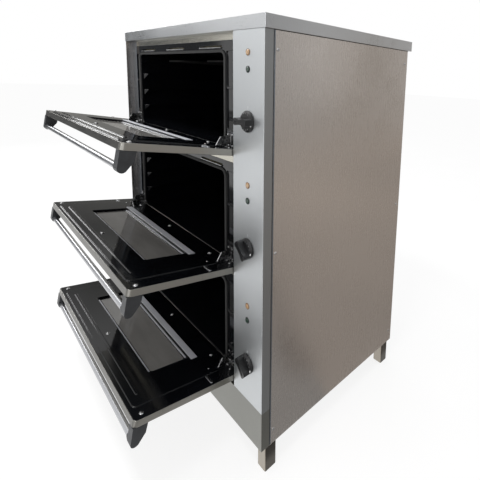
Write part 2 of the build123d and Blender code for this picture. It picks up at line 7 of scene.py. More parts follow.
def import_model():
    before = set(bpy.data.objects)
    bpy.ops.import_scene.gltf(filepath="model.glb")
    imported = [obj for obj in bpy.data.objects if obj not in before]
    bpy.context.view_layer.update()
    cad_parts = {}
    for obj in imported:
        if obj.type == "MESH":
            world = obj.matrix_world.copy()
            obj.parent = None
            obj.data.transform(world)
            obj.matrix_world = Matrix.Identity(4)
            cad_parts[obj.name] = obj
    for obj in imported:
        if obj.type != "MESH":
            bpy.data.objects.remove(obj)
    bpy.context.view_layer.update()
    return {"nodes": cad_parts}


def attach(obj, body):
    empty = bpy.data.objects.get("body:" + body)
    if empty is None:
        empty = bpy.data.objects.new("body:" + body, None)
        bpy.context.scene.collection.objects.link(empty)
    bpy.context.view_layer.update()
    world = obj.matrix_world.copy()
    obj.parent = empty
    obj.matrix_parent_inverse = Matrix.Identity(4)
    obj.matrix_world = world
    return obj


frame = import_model()

# Decks: how many, the step from one to the next, and the middle of the doors. All lengths are
# in metres, and heights are those of the lowest deck.
DECKS = 3
PITCH = 0.366
DECK_X = -0.075

# Planes of the control panel and of the front frames.
FRONT_Y = -0.193568
FRAME_Y = FRONT_Y + 0.025

# Hinge line of the doors, and the surfaces of a closed door's inner panel behind it.
PIVOT_Y = FRONT_Y + 0.014
PIVOT_Z = 0.2362
HINGE_X = 0.370
OPEN_ANGLE = 80
FIELD_Y = 0.0075
RIM_Y = 0.005

# Handle, in the closed door's frame about its hinge line.
DOOR_HALF = 0.4275
BRACKET_W = 0.026
TUBE_AT = (-0.056, 0.287)
TUBE_R = 0.008

# Heads and washers of the screws. A door's screws are given by the distance from its middle,
# the height above its hinge line, the surface they lie on, the head and the washer.
SCREW_R = 0.0042
WASHER_R = 0.0062
DOOR_SCREWS = (
    (0.407, 0.274, RIM_Y, SCREW_R, WASHER_R),
    (0, 0.242, FIELD_Y, SCREW_R, WASHER_R),
    (0, 0.027, FIELD_Y, SCREW_R, WASHER_R),
    (0.302, 0.024, FIELD_Y, SCREW_R, WASHER_R),
    (0.357, 0.062, FIELD_Y, 0.0028, 0),
    (0.395, 0.008, RIM_Y, 0.0035, 0),
)
BUFFER_AT = (0.400, 0.082)
BUFFER_SIZE = (0.038, 0.008, 0.0035)
FRAME_SCREW_R = 0.0034
FRAME_SCREW_AT = (0.412, 0.302)
SOCKET_SCREWS_X = (-0.0115, 0.0115)
SOCKET_SCREWS_Z = (0.006, 0.040)

# Mouth of an oven, its vents above and its shelf ledges inside.
OPENING_Z = 0.2385
OPENING_HALF = 0.340
VENTS = 3
VENT_L = 0.137
VENT_STEP = 0.255
VENT_UP = 0.2995
VENT_OUT = 0.0026
VENT_RIM_R = 0.0013
LEDGES = 3
LEDGE_FIRST = 0.075
LEDGE_STEP = 0.066
LEDGE_OUT = 0.014
LEDGE_H = 0.024
LEDGE_Y = FRAME_Y + 0.0232

# Knobs, the turn of each at rest in degrees, and the marks on their skirts and above them.
KNOB_X = 0.431
KNOB_Z = 0.3335
KNOB_TURNS = (45, 45, 0)
SKIRT_Y = FRONT_Y - 0.0088
TICKS = 11
TICK_FROM = 60
TICK_STEP = 24
TICK_R = 0.0228
WHITE_MARK_R = 0.0268
WHITE_MARK_Y = SKIRT_Y + 0.0012
WHITE_MARK_TURN = 18
MARK_UP = 0.038

# Pilot lamps: height above the mouth of the oven and look of the bezel, by colour.
LAMPS = {"amber": (0.281, "lamp_brown"), "green": (0.236, "groove")}
BEZEL = [(0.0076, 0), (0.0094, 0), (0.0094, 0.0008), (0.0088, 0.0014), (0.0080, 0.0014),
         (0.0076, 0.0010), (0.0076, 0)]

# Strip of the left side panel, as left, right, low and high, and joints of the right one, with a
# painted highlight on its fold and painted shadow under the worktop.
LEFT_TRIM = (-0.5055, -0.459, 0.2135, 1.3112)
SIDE_X = 0.506
JOINT_Y = FRONT_Y + 0.028
JOINT_Z = (0.084, 1.3112)
JOINT_W = 0.0016
FOLD_HIGHLIGHT_W = 0.0034
TOP_SHADOW_H = 0.0018
PANEL_REAR_Y = 0.4600

# Levels of the set: how white the floor is where it is seen, how much of what is seen of it is
# that white, and how bright the surroundings are as a light.
FLOOR_REACH = 30
FLOOR_WHITE = 1.15
FLOOR_SHARE = 0.7
WORLD_FILL = 0.65

# Cards that only reflections show: corners, colour at the low and at the high edge, and for
# one of them its unevenness and the scale of that.
CARDS = {
    "left_card_low": ([(-5, -1.1, 0), (-5, 6, 0), (-5, 6, 2.1), (-5, -1.1, 2.1)],
                      (0.36, 0.35, 0.325, 1), (0.18, 0.18, 0.175, 1)),
    "left_card_high": ([(-5, 0.2, 2.1), (-5, 6, 2.1), (-5, 6, 3.6), (-5, 0.2, 3.6)],
                       (0.24, 0.24, 0.23, 1), (0.95, 0.95, 0.95, 1)),
    "left_card_front": ([(-5, -3.0, 0), (-5, -1.1, 0), (-5, -1.1, 2.1), (-5, -3.0, 2.1)],
                        (0.05, 0.055, 0.065, 1), (0.15, 0.155, 0.16, 1)),
    "right_card": ([(4.5, -2.5, 0), (4.5, 8, 0), (4.5, 8, 5), (4.5, -2.5, 5)],
                   (0.34, 0.31, 0.28, 1), (0.44, 0.41, 0.38, 1)),
    "right_floor_card": ([(0.53, -1.6, 0.004), (5, -2.5, 0.004), (5, 8, 0.005),
                          (0.53, 8, 0.005)],
                         (0.34, 0.31, 0.285, 1), (0.54, 0.485, 0.435, 1), 0.4, 0.45),
    "right_floor_grey": ([(0.53, -1.6, 0.008), (2.2, -1.6, 0.008), (2.2, 0.75, 0.009),
                          (0.53, 0.12, 0.009)],
                         (0.25, 0.247, 0.245, 1), (0.27, 0.265, 0.26, 1)),
    "right_floor_dark": ([(0.70, 0.08, 0.012), (2.3, 0.62, 0.012), (2.3, 0.82, 0.013),
                          (0.70, 0.20, 0.013)],
                         (0.17, 0.155, 0.145, 1), (0.20, 0.18, 0.165, 1)),
    "right_grey": ([(4.45, -2.5, 0), (4.45, 3.8, 0), (4.45, 3.8, 5), (4.45, -2.5, 5)],
                   (0.33, 0.325, 0.32, 1), (0.50, 0.50, 0.50, 1)),
    "right_streak": ([(4.4, 3.45, 0.7), (4.4, 3.9, 0.7), (4.4, 3.9, 2.5), (4.4, 3.45, 2.5)],
                     (0.9, 0.9, 0.9, 1), (1.5, 1.5, 1.5, 1)),
}

# Lamps: place, point they face, size and power in watts.
LIGHTS = {
    "window": ((-5.0, -0.6, 2.75), (0, -0.4, 0.7), (1.6, 1.3), 39),
    "flash": ((0.7, -4.0, 1.7), (0, 0, 0.9), (0.5, 0.5), 10),
    "overhead": ((-0.2, -1.0, 3.6), (-0.2, -0.6, 0), (2.6, 0.5), 50),
}

# Camera: place, directions, focal length and centre in pixels of the square picture.
CAMERA_AT = (1.28638, -0.73575, 1.19114)
CAMERA_RIGHT = (0.760979, 0.647176, 0.045544)
CAMERA_UP = (-0.123829, 0.075977, 0.989391)
PICTURE = 480
FOCAL = 357.116
CENTRE = (360.0, 130.0)
SENSOR = 36

# Angle from which an edge of a small piece is sharp.
SHARP = math.radians(35)


def lin(r, g, b):
    """Linear colour from the 0 to 255 values that a screen shows."""
    def one(v):
        v /= 255
        return v / 12.92 if v <= 0.04045 else ((v + 0.055) / 1.055) ** 2.4
    return (one(r), one(g), one(b), 1.0)


# Materials

class Shader:
    """Node graph of one material, with the Principled shader at its end."""

    def __init__(self, name, rough=0.5, metallic=0.0, **constants):
        self.mat = bpy.data.materials.new(name)
        self.mat.use_nodes = True
        self.tree = self.mat.node_tree
        self.nodes = self.tree.nodes
        self.bsdf = self.nodes["Principled BSDF"]
        self.bsdf.inputs["Roughness"].default_value = rough
        self.bsdf.inputs["Metallic"].default_value = metallic
        for key, value in constants.items():
            self.bsdf.inputs[key.replace("_", " ")].default_value = value
        self.coords = self.add("ShaderNodeTexCoord").outputs["Object"]

    def add(self, kind, **settings):
        """New node with its settings."""
        node = self.nodes.new(kind)
        for key, value in settings.items():
            setattr(node, key, value)
        return node

    def link(self, source, target):
        self.tree.links.new(source, target)

    def scaled(self, stretch):
        """Object coordinates, stretched along the axes."""
        mapping = self.add("ShaderNodeMapping")
        mapping.inputs["Scale"].default_value = stretch
        self.link(self.coords, mapping.inputs["Vector"])
        return mapping.outputs["Vector"]

    def noise(self, scale, stretch=(1, 1, 1), detail=3.0, rough=0.5):
        """Noise whose features are about one metre over the scale wide."""
        node = self.add("ShaderNodeTexNoise")
        node.inputs["Scale"].default_value = scale
        node.inputs["Detail"].default_value = detail
        node.inputs["Roughness"].default_value = rough
        self.link(self.scaled(stretch), node.inputs["Vector"])
        return node.outputs["Fac"]

    def ramp(self, value, low, high, out_low=0.0, out_high=1.0):
        """Value carried from one range to another and held at its ends."""
        node = self.add("ShaderNodeMapRange")
        for name, number in (("From Min", low), ("From Max", high),
                             ("To Min", out_low), ("To Max", out_high)):
            node.inputs[name].default_value = number
        self.link(value, node.inputs["Value"])
        return node.outputs["Result"]

    def mix(self, factor, a, b, share=0.5):
        """Blend of two colours by a factor, or by a fixed share where there is none."""
        node = self.add("ShaderNodeMix", data_type="RGBA")
        node.inputs["Factor"].default_value = share
        if factor:
            self.link(factor, node.inputs["Factor"])
        for socket, colour in ((node.inputs[6], a), (node.inputs[7], b)):
            if isinstance(colour, tuple):
                socket.default_value = colour
            else:
                self.link(colour, socket)
        return node.outputs[2]

    def math(self, operation, a, b):
        """Sum or product of two values, each a socket or a number."""
        node = self.add("ShaderNodeMath", operation=operation)
        for socket, value in zip(node.inputs, (a, b)):
            if isinstance(value, (int, float)):
                socket.default_value = value
            else:
                self.link(value, socket)
        return node.outputs[0]

    def colour(self, value):
        self.link(value, self.bsdf.inputs["Base Color"])

    def rough(self, value):
        self.link(value, self.bsdf.inputs["Roughness"])

    def bump(self, height, strength, distance, edge=0.0):
        """Relief over the surface, with the sharp edges worn round by the edge radius."""
        node = self.add("ShaderNodeBump")
        node.inputs["Strength"].default_value = strength
        node.inputs["Distance"].default_value = distance
        self.link(height, node.inputs["Height"])
        if edge:
            worn = self.add("ShaderNodeBevel", samples=8)
            worn.inputs["Radius"].default_value = edge
            self.link(worn.outputs["Normal"], node.inputs["Normal"])
        self.link(node.outputs["Normal"], self.bsdf.inputs["Normal"])


def tint(colour, factor):
    """Colour made lighter or darker by a factor."""
    return tuple(c * factor for c in colour[:3]) + (1.0,)


def along(grain, share):
    """Stretch that draws noise out along one axis."""
    return tuple(share if axis == grain else 1 for axis in "xyz")


def brushed(name, colour, grain, rough=0.34, streak=0.10, cloud=0.05, metallic=1.0,
            edge=0.0012, right_shade=1.0, front_shade=1.0, relief=0.12):
    """Brushed sheet: fine streaks along the grain, faint broad bands and smears.

    The shades darken faces that look right or to the front: painted shade for less light there.
    """
    s = Shader(name, rough, metallic)
    streaks = s.noise(1100, along(grain, 0.02), 4, 0.6)
    clouds = s.noise(2.6, along(grain, 0.12), 1)
    smears = s.noise(7, detail=4, rough=0.6)
    base = s.mix(s.ramp(streaks, 0.3, 0.7), tint(colour, 1 - streak), tint(colour, 1 + streak))
    broad = s.mix(s.ramp(clouds, 0.3, 0.7), tint(colour, 1 - cloud), tint(colour, 1 + cloud))
    finish = s.mix(None, base, broad)
    # Painted shade: faces turned to the right or to the front get a darker colour.
    for axis, sign, darker in (("X", 1, right_shade), ("Y", -1, front_shade)):
        if darker < 1:
            turned = s.add("ShaderNodeSeparateXYZ")
            s.link(s.add("ShaderNodeTexCoord").outputs["Normal"], turned.inputs[0])
            facing_so = s.ramp(turned.outputs[axis], 0.6 * sign, 0.9 * sign)
            finish = s.mix(facing_so, finish, tint(colour, darker))
    s.colour(finish)
    s.rough(s.math("ADD", s.ramp(streaks, 0.3, 0.7, -0.04, 0.05),
                   s.ramp(smears, 0.35, 0.7, rough - 0.02, rough + 0.05)))
    s.bump(streaks, relief, 0.00005, edge)
    return s.mat


def enamel(name, colour, rough=0.07):
    """Fired enamel: deep gloss with a slight orange peel and tiny specks."""
    s = Shader(name, rough, 0.0, Specular_IOR_Level=0.5)
    peel = s.noise(150, detail=2)
    specks = s.noise(1500, detail=1)
    cloud = s.noise(9, detail=3)
    base = s.mix(s.ramp(cloud, 0.3, 0.7), tint(colour, 0.8), tint(colour, 1.3))
    s.colour(s.mix(s.ramp(specks, 0.74, 0.80), base, tint(colour, 4)))
    s.rough(s.ramp(cloud, 0.3, 0.75, rough - 0.02, rough + 0.05))
    s.bump(peel, 0.03, 0.00006, 0.0020)
    return s.mat


def moulded(name, colour, rough=0.42):
    """Moulded plastic with a fine matt grain and handling marks."""
    s = Shader(name, rough, 0.0, Specular_IOR_Level=0.5)
    fine = s.noise(2200, detail=2)
    marks = s.noise(60, detail=4)
    s.colour(s.mix(s.ramp(marks, 0.35, 0.7), tint(colour, 0.85), tint(colour, 1.2)))
    s.rough(s.ramp(marks, 0.3, 0.7, rough - 0.07, rough + 0.08))
    s.bump(fine, 0.25, 0.00006)
    return s.mat


def plated(name, colour, rough=0.22):
    """Zinc-plated or turned metal with small stains."""
    s = Shader(name, rough, 1.0)
    fine = s.noise(700, detail=3)
    stains = s.noise(80, detail=4)
    s.colour(s.mix(s.ramp(stains, 0.35, 0.7), tint(colour, 0.82), tint(colour, 1.08)))
    s.rough(s.ramp(stains, 0.3, 0.7, rough - 0.06, rough + 0.12))
    s.bump(fine, 0.12, 0.00005)
    return s.mat


def pane(name, colour, clear=0.55):
    """Tinted pane with faint wiping marks."""
    s = Shader(name, 0.04, 0.0, Transmission_Weight=clear, IOR=2.2)
    wipes = s.noise(14, (0.25, 1, 1), 5, 0.6)
    s.colour(s.mix(s.ramp(wipes, 0.3, 0.7), tint(colour, 0.85), tint(colour, 1.15)))
    s.rough(s.ramp(wipes, 0.35, 0.75, 0.03, 0.09))
    return s.mat


def galvanised(name, colour):
    """Zinc sheet with its spangle."""
    s = Shader(name, 0.45, 1.0)
    cells = s.add("ShaderNodeTexVoronoi")
    cells.inputs["Scale"].default_value = 90
    s.link(s.coords, cells.inputs["Vector"])
    grey = s.add("ShaderNodeSeparateColor")
    s.link(cells.outputs["Color"], grey.inputs["Color"])
    s.colour(s.mix(grey.outputs["Red"], tint(colour, 0.88), tint(colour, 1.12)))
    s.rough(s.ramp(grey.outputs["Green"], 0, 1, 0.36, 0.52))
    s.bump(s.noise(300, detail=3), 0.1, 0.0001)
    return s.mat


def braid(name, colour):
    """Braided glass-fibre rope."""
    s = Shader(name, 0.9, 0.0)
    waves = []
    for turn in (math.radians(45), math.radians(-45)):
        mapping = s.add("ShaderNodeMapping")
        mapping.inputs["Rotation"].default_value = (0, turn, 0)
        s.link(s.coords, mapping.inputs["Vector"])
        wave = s.add("ShaderNodeTexWave")
        wave.inputs["Scale"].default_value = 260
        wave.inputs["Distortion"].default_value = 1.5
        s.link(mapping.outputs["Vector"], wave.inputs["Vector"])
        waves.append(wave.outputs["Fac"])
    weave = s.math("MULTIPLY", waves[0], waves[1])
    s.colour(s.mix(weave, tint(colour, 0.6), tint(colour, 1.5)))
    s.bump(weave, 0.6, 0.0006)
    return s.mat


def wool(name, colour):
    """Mineral wool: matted fibres."""
    s = Shader(name, 0.95, 0.0)
    fibres = s.noise(120, (1, 1, 3), 6, 0.7)
    s.colour(s.mix(s.ramp(fibres, 0.3, 0.7), tint(colour, 0.75), tint(colour, 1.2)))
    s.bump(fibres, 0.8, 0.002)
    return s.mat


def lens(name, colour, rough=0.18):
    """Translucent lamp lens with a soft inner mottling."""
    s = Shader(name, rough, 0.0, Coat_Weight=0.4, Subsurface_Weight=0.15)
    s.bsdf.inputs["Subsurface Radius"].default_value = (0.004, 0.002, 0.001)
    mottle = s.noise(320, detail=2)
    s.colour(s.mix(s.ramp(mottle, 0.3, 0.7), tint(colour, 0.8), tint(colour, 1.2)))
    s.bump(mottle, 0.2, 0.0002)
    return s.mat


MATERIALS = {
    "stainless_top": brushed("stainless_top", lin(196, 198, 200), "x", 0.3, 0.05),
    # Its strong broad vertical bands are partly uneven tone and partly painted reflection:
    # lighter and darker bands that stand in for soft reflections.
    "stainless_panel": brushed("stainless_panel", lin(206, 200, 195), "z", 0.27, 0.025, 0.16),
    # control_face: its right-hand return carries painted shade.
    "control_face": brushed("control_face", lin(206, 209, 211), "z", 0.42, 0.04, 0.03,
                            edge=0.0032, right_shade=0.58),
    # door_steel: its front edge carries painted shade.
    "door_steel": brushed("door_steel", lin(178, 176, 170), "x", 0.3, 0.04, front_shade=0.36,
                          relief=0.03),
    "band_steel": brushed("band_steel", lin(196, 193, 182), "x", 0.2),
    "trim_steel": brushed("trim_steel", lin(136, 142, 150), "z", 0.28, 0.06),
    "kick_steel": brushed("kick_steel", lin(140, 140, 135), "x", 0.34),
    "galvanised": galvanised("galvanised", lin(176, 178, 180)),
    # frame_steel: the right-hand faces of legs and rails carry painted shade.
    "frame_steel": brushed("frame_steel", lin(170, 163, 152), "z", 0.33, right_shade=0.2),
    "black_enamel": enamel("black_enamel", (0.0034, 0.0038, 0.0050, 1)),
    "cavity_enamel": enamel("cavity_enamel", (0.0034, 0.0038, 0.0050, 1), 0.10),
    "dark_glass": pane("dark_glass", (0.035, 0.036, 0.038, 1)),
    "inner_pane": pane("inner_pane", (0.47, 0.455, 0.435, 1), 0.4),
    "bright_aluminium": brushed("bright_aluminium", lin(184, 185, 188), "x", 0.26, 0.04, 0.03,
                                relief=0.03),
    "satin_aluminium": brushed("satin_aluminium", lin(222, 224, 231), "x", 0.42, 0.05, 0.03, 0.2),
    "dark_plastic": moulded("dark_plastic", lin(48, 50, 53)),
    "knob_plastic": moulded("knob_plastic", lin(23, 23, 25), 0.34),
    "zinc": plated("zinc", lin(205, 205, 206)),
    "seal_fibre": braid("seal_fibre", lin(70, 70, 70)),
    "wool": wool("wool", lin(190, 180, 150)),
    "element_steel": moulded("element_steel", lin(12, 11, 11), 0.9),
    "amber_lens": lens("amber_lens", lin(196, 160, 122)),
    "green_lens": lens("green_lens", lin(38, 62, 50), 0.12),
    "lamp_brown": moulded("lamp_brown", lin(128, 100, 76), 0.35),
    "switch_body": moulded("switch_body", lin(190, 184, 168)),
    "mark_grey": moulded("mark_grey", lin(225, 226, 228), 0.5),
    "mark_white": moulded("mark_white", lin(245, 245, 245), 0.4),
    "rubber": moulded("rubber", lin(30, 30, 31), 0.6),
    "groove": moulded("groove", lin(28, 28, 30), 0.6),
}

# Look of each CAD node, or of the kind that its number follows.
LOOKS = {
    "worktop": "stainless_top", "left_side_panel": "stainless_panel",
    "right_side_panel": "stainless_panel", "back_panel": "galvanised",
    "base_panel": "galvanised", "control_panel": "control_face", "kick_panel": "kick_steel",
    "legs": "frame_steel", "base_rails": "frame_steel", "frame_posts": "galvanised",
    "top_rails": "galvanised", "deck_bars": "galvanised", "spacer_bands": "band_steel",
    "insulation_blankets": "wool", "heating_elements": "element_steel",
    "door_seals": "seal_fibre", "hinge_sockets": "zinc", "thermostats": "switch_body",
    "amber_pilot_lamps": "amber_lens", "green_pilot_lamps": "green_lens",
    "panel_screws": "zinc", "cable_gland": "rubber", "terminal_block": "switch_body",
    "oven_liner": "cavity_enamel", "front_frame": "black_enamel", "knob": "knob_plastic",
    "knob_shaft": "zinc", "door_skin": "door_steel", "door_inner_panel": "black_enamel",
    "outer_glass": "dark_glass", "inner_glass": "inner_pane",
    "door_trims": "satin_aluminium", "handle_tube": "bright_aluminium",
    "handle_brackets": "dark_plastic", "hinge_arms": "zinc",
}


def dress_frame():
    """Give each CAD node the material of its kind."""
    for node, obj in frame["nodes"].items():
        kind = node if node in LOOKS else node.rsplit("_", 1)[0]
        material = MATERIALS[LOOKS[kind]]
        if not obj.material_slots:
            obj.data.materials.append(material)
        for held in obj.material_slots:
            held.material = material


# Small pieces

def new_object(name, bm, body, look):
    """Finish a mesh and put it in the scene, on a body and with a look."""
    mesh = finish_mesh(bm, name)
    obj = bpy.data.objects.new(name, mesh)
    bpy.context.collection.objects.link(obj)
    mesh.materials.append(MATERIALS[look])
    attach(obj, body)


def lathe(bm, profile, place, segments=24):
    """Turn a profile of (radius, height) about the local Z axis, closed at both ends."""
    rings = []
    for radius, height in profile:
        if radius == 0:
            rings.append([bm.verts.new(place @ Vector((0, 0, height)))])
            continue
        rings.append([bm.verts.new(place @ Vector((radius * math.cos(a), radius * math.sin(a),
                                                   height)))
                      for a in [2 * math.pi * n / segments for n in range(segments)]])
    for low, high in zip(rings, rings[1:]):
        for n in range(segments):
            quad = [low[n % len(low)], low[(n + 1) % len(low)],
                    high[(n + 1) % len(high)], high[n % len(high)]]
            face = list(dict.fromkeys(quad))
            if len(face) > 2:
                bm.faces.new(face)


def slab(bm, outline, low, high, place, edge=0.0):
    """Prism from an outline, with its upper edge drawn in by a small amount."""
    cx = sum(p[0] for p in outline) / len(outline)
    cy = sum(p[1] for p in outline) / len(outline)

    def ring(height, inset):
        made = []
        for x, y in outline:
            reach = math.hypot(x - cx, y - cy)
            f = 1 - inset / reach if reach else 1
            made.append(bm.verts.new(place @ Vector((cx + (x - cx) * f, cy + (y - cy) * f,
                                                     height))))
        return made

    rings = [ring(low, 0), ring(high - edge, 0), ring(high, edge)]
    count = len(outline)
    for a, b in zip(rings, rings[1:]):
        for n in range(count):
            bm.faces.new((a[n], a[(n + 1) % count], b[(n + 1) % count], b[n]))
    bm.faces.new(rings[0][::-1])
    bm.faces.new(rings[-1])


def rounded(w, h, r, steps=5):
    """Rounded rectangle about the origin, as a list of points."""
    made = []
    for sx, sy, start in ((1, 1, 0), (-1, 1, 90), (-1, -1, 180), (1, -1, 270)):
        for n in range(steps + 1):
            a = math.radians(start + 90 * n / steps)
            made.append((sx * (w / 2 - r) + r * math.cos(a), sy * (h / 2 - r) + r * math.sin(a)))
    return made


def finish_mesh(bm, name):
    """Mesh with its seams closed, its faces turned outwards and its curves smooth."""
    bmesh.ops.remove_doubles(bm, verts=bm.verts, dist=1e-7)
    bmesh.ops.recalc_face_normals(bm, faces=bm.faces)
    mesh = bpy.data.meshes.new(name)
    bm.to_mesh(mesh)
    bm.free()
    for polygon in mesh.polygons:
        polygon.use_smooth = True
    mesh.set_sharp_from_angle(angle=SHARP)
    return mesh


def facing(x, y, z, axis):
    """Placement whose local Z points along the axis, at a point in the row frame."""
    turn = Vector((0, 0, 1)).rotation_difference(Vector(axis)).to_matrix().to_4x4()
    return Matrix.Translation((x, y, z)) @ turn


def door_place(deck):
    """Matrix from the closed door's frame about its hinge line to the open rest position."""
    return (Matrix.Translation((DECK_X, PIVOT_Y, PIVOT_Z + deck * PITCH))
            @ Matrix.Rotation(math.radians(OPEN_ANGLE), 4, "X"))


def pan_head(bm, place, r, washer=0.0):
    """Pan head with an optional washer below it."""
    base = 0.0
    if washer:
        lathe(bm, [(0, 0), (washer, 0), (washer, 0.0007), (washer - 0.0004, 0.0010), (0, 0.0010)],
              place)
        base = 0.0009
    lathe(bm, [(0, base), (r, base), (r, base + r * 0.25), (r * 0.88, base + r * 0.45),
               (r * 0.62, base + r * 0.56), (r * 0.3, base + r * 0.60), (0, base + r * 0.60)],
          place)


def cross(bm, place, r, height):
    """Dark cross recess that lies in the top of a pan head."""
    arm, half = r * 0.55, r * 0.13
    for w, h in ((arm, half), (half, arm)):
        slab(bm, [(-w, -h), (w, -h), (w, h), (-w, h)], height - 0.0003, height + 0.00004, place)


def screws(name, body, spots):
    """Heads and their recesses: spots are (placement, radius, washer radius)."""
    heads, marks = bmesh.new(), bmesh.new()
    for place, r, washer in spots:
        pan_head(heads, place, r, washer)
        cross(marks, place, r, r * 0.60 + (0.0009 if washer else 0))
    new_object(name, heads, body, "zinc")
    new_object(name + "_recesses", marks, body, "groove")


def door_details(deck):
    """Screws and buffers on the inner side of one door."""
    number = deck + 1
    body = f"door_{number}"
    door = door_place(deck)
    spots = []
    for across, up, surface, head, washer in DOOR_SCREWS:
        for x in (-across, across) if across else (0,):
            spots.append((door @ facing(x, surface, up, (0, 1, 0)), head, washer))
    screws(f"door_screws_{number}", body, spots)
    bm = bmesh.new()
    across, up = BUFFER_AT
    for x in (-across, across):
        slab(bm, rounded(*BUFFER_SIZE), 0, 0.0025, door @ facing(x, RIM_Y, up, (0, 1, 0)), 0.0008)
    new_object(f"door_buffers_{number}", bm, body, "bright_aluminium")


def frame_details(deck):
    """Screws that hold the hinge pockets and the front frame."""
    rise = deck * PITCH
    across, up = FRAME_SCREW_AT
    spots = []
    for side in (-1, 1):
        places = [(side * HINGE_X + dx, PIVOT_Z + dz)
                  for dx in SOCKET_SCREWS_X for dz in SOCKET_SCREWS_Z]
        for x, z in places + [(side * across, OPENING_Z + up)]:
            place = facing(DECK_X + x, FRAME_Y, z + rise, (0, -1, 0))
            spots.append((place, FRAME_SCREW_R, 0))
    screws(f"frame_screws_{deck + 1}", "cabinet", spots)


def knob_details(deck):
    """Ticks and a white mark on the skirt of one knob, and the mark on the panel above it."""
    number = deck + 1
    body = f"knob_{number}"
    z = KNOB_Z + deck * PITCH

    def on_skirt(y, angle, radius):
        return (Matrix.Translation((KNOB_X, y, z)) @ Matrix.Rotation(math.radians(angle), 4, "Y")
                @ facing(radius, 0, 0, (0, -1, 0)))

    ticks = bmesh.new()
    for n in range(TICKS):
        place = on_skirt(SKIRT_Y, KNOB_TURNS[deck] - TICK_FROM - n * TICK_STEP, TICK_R)
        slab(ticks, rounded(0.0030, 0.0008, 0.0003, 2), -0.0004, 0.0002, place)
    new_object(f"knob_ticks_{number}", ticks, body, "mark_grey")
    white_mark = bmesh.new()
    slab(white_mark, rounded(0.0030, 0.0080, 0.0012, 3), -0.0006, 0.0008,
         on_skirt(WHITE_MARK_Y, WHITE_MARK_TURN, WHITE_MARK_R), 0.0003)
    new_object(f"knob_white_mark_{number}", white_mark, body, "mark_white")
    mark = bmesh.new()
    place = facing(KNOB_X, FRONT_Y, z + MARK_UP, (0, -1, 0))
    slab(mark, rounded(0.0016, 0.008, 0.0005, 2), -0.0001, 0.0002, place)
    new_object(f"panel_mark_{number}", mark, "cabinet", "mark_grey")


def lamp_details():
    """Bezels round the pilot lamps."""
    for colour, (up, look) in LAMPS.items():
        bm = bmesh.new()
        for deck in range(DECKS):
            place = facing(KNOB_X, FRONT_Y, OPENING_Z + up + deck * PITCH, (0, -1, 0))
            lathe(bm, BEZEL, place, 32)
        new_object(f"lamp_bezels_{colour}", bm, "cabinet", look)


def left_trim():
    """Folded strip of the left side panel that lies on the front frames."""
    x0, x1, low, high = LEFT_TRIM
    bm = bmesh.new()
    place = facing((x0 + x1) / 2, FRAME_Y, (low + high) / 2, (0, -1, 0))
    slab(bm, rounded(x1 - x0, high - low, 0.0005, 2), 0, 0.0008, place, 0.0003)
    new_object("left_trim", bm, "cabinet", "trim_steel")


def ledge_ends(deck):
    """Sloping front ends of the pressed shelf ledges."""
    bm = bmesh.new()
    for side in (-1, 1):
        wall = DECK_X + side * OPENING_HALF
        for n in range(LEDGES):
            z = OPENING_Z + deck * PITCH + LEDGE_FIRST + n * LEDGE_STEP
            outer = bm.verts.new((wall - side * LEDGE_OUT, LEDGE_Y, z))
            back = bm.verts.new((wall, LEDGE_Y, z))
            front = bm.verts.new((wall, LEDGE_Y - LEDGE_OUT, z))
            tip = bm.verts.new((wall, LEDGE_Y - LEDGE_OUT, z - LEDGE_H))
            heel = bm.verts.new((wall, LEDGE_Y, z - LEDGE_H))
            for face in ((front, outer, tip), (front, back, outer), (outer, heel, tip),
                         (outer, back, heel), (front, tip, heel, back)):
                bm.faces.new(face)
    new_object(f"ledge_ends_{deck + 1}", bm, "cabinet", "cavity_enamel")


def vent_highlight_rims(deck):
    """Rolled edges of the vent lips above one opening, in bright zinc: painted highlight on
    enamel lips.
    """
    bm = bmesh.new()
    z = OPENING_Z + deck * PITCH + VENT_UP
    for n in range(VENTS):
        x = DECK_X + (n - (VENTS - 1) / 2) * VENT_STEP
        ends = [(0, 0), (VENT_RIM_R, 0.0006), (VENT_RIM_R, VENT_L - 0.0006), (0, VENT_L)]
        lathe(bm, ends, facing(x - VENT_L / 2, FRAME_Y - VENT_OUT, z, (1, 0, 0)), 10)
    new_object(f"vent_highlight_rims_{deck + 1}", bm, "cabinet", "zinc")


def handle_collars(deck):
    """Conical collars where the tube enters its brackets."""
    bm = bmesh.new()
    bore, foot, tip = TUBE_R + 0.0001, TUBE_R + 0.0026, TUBE_R + 0.0006
    profile = [(bore, 0), (foot, 0), (foot, 0.003), (tip, 0.013), (bore, 0.013), (bore, 0)]
    for side in (-1, 1):
        x = side * (DOOR_HALF - BRACKET_W + 0.0002)
        lathe(bm, profile, door_place(deck) @ facing(x, *TUBE_AT, (-side, 0, 0)), 28)
    new_object(f"handle_collars_{deck + 1}", bm, f"door_{deck + 1}", "dark_plastic")


def on_right(y, z):
    """Placement on the right side panel: local X runs to the rear and local Y upwards."""
    return (Matrix.Translation((SIDE_X, y, z)) @ Matrix.Rotation(math.radians(90), 4, "Z")
            @ Matrix.Rotation(math.radians(90), 4, "X"))


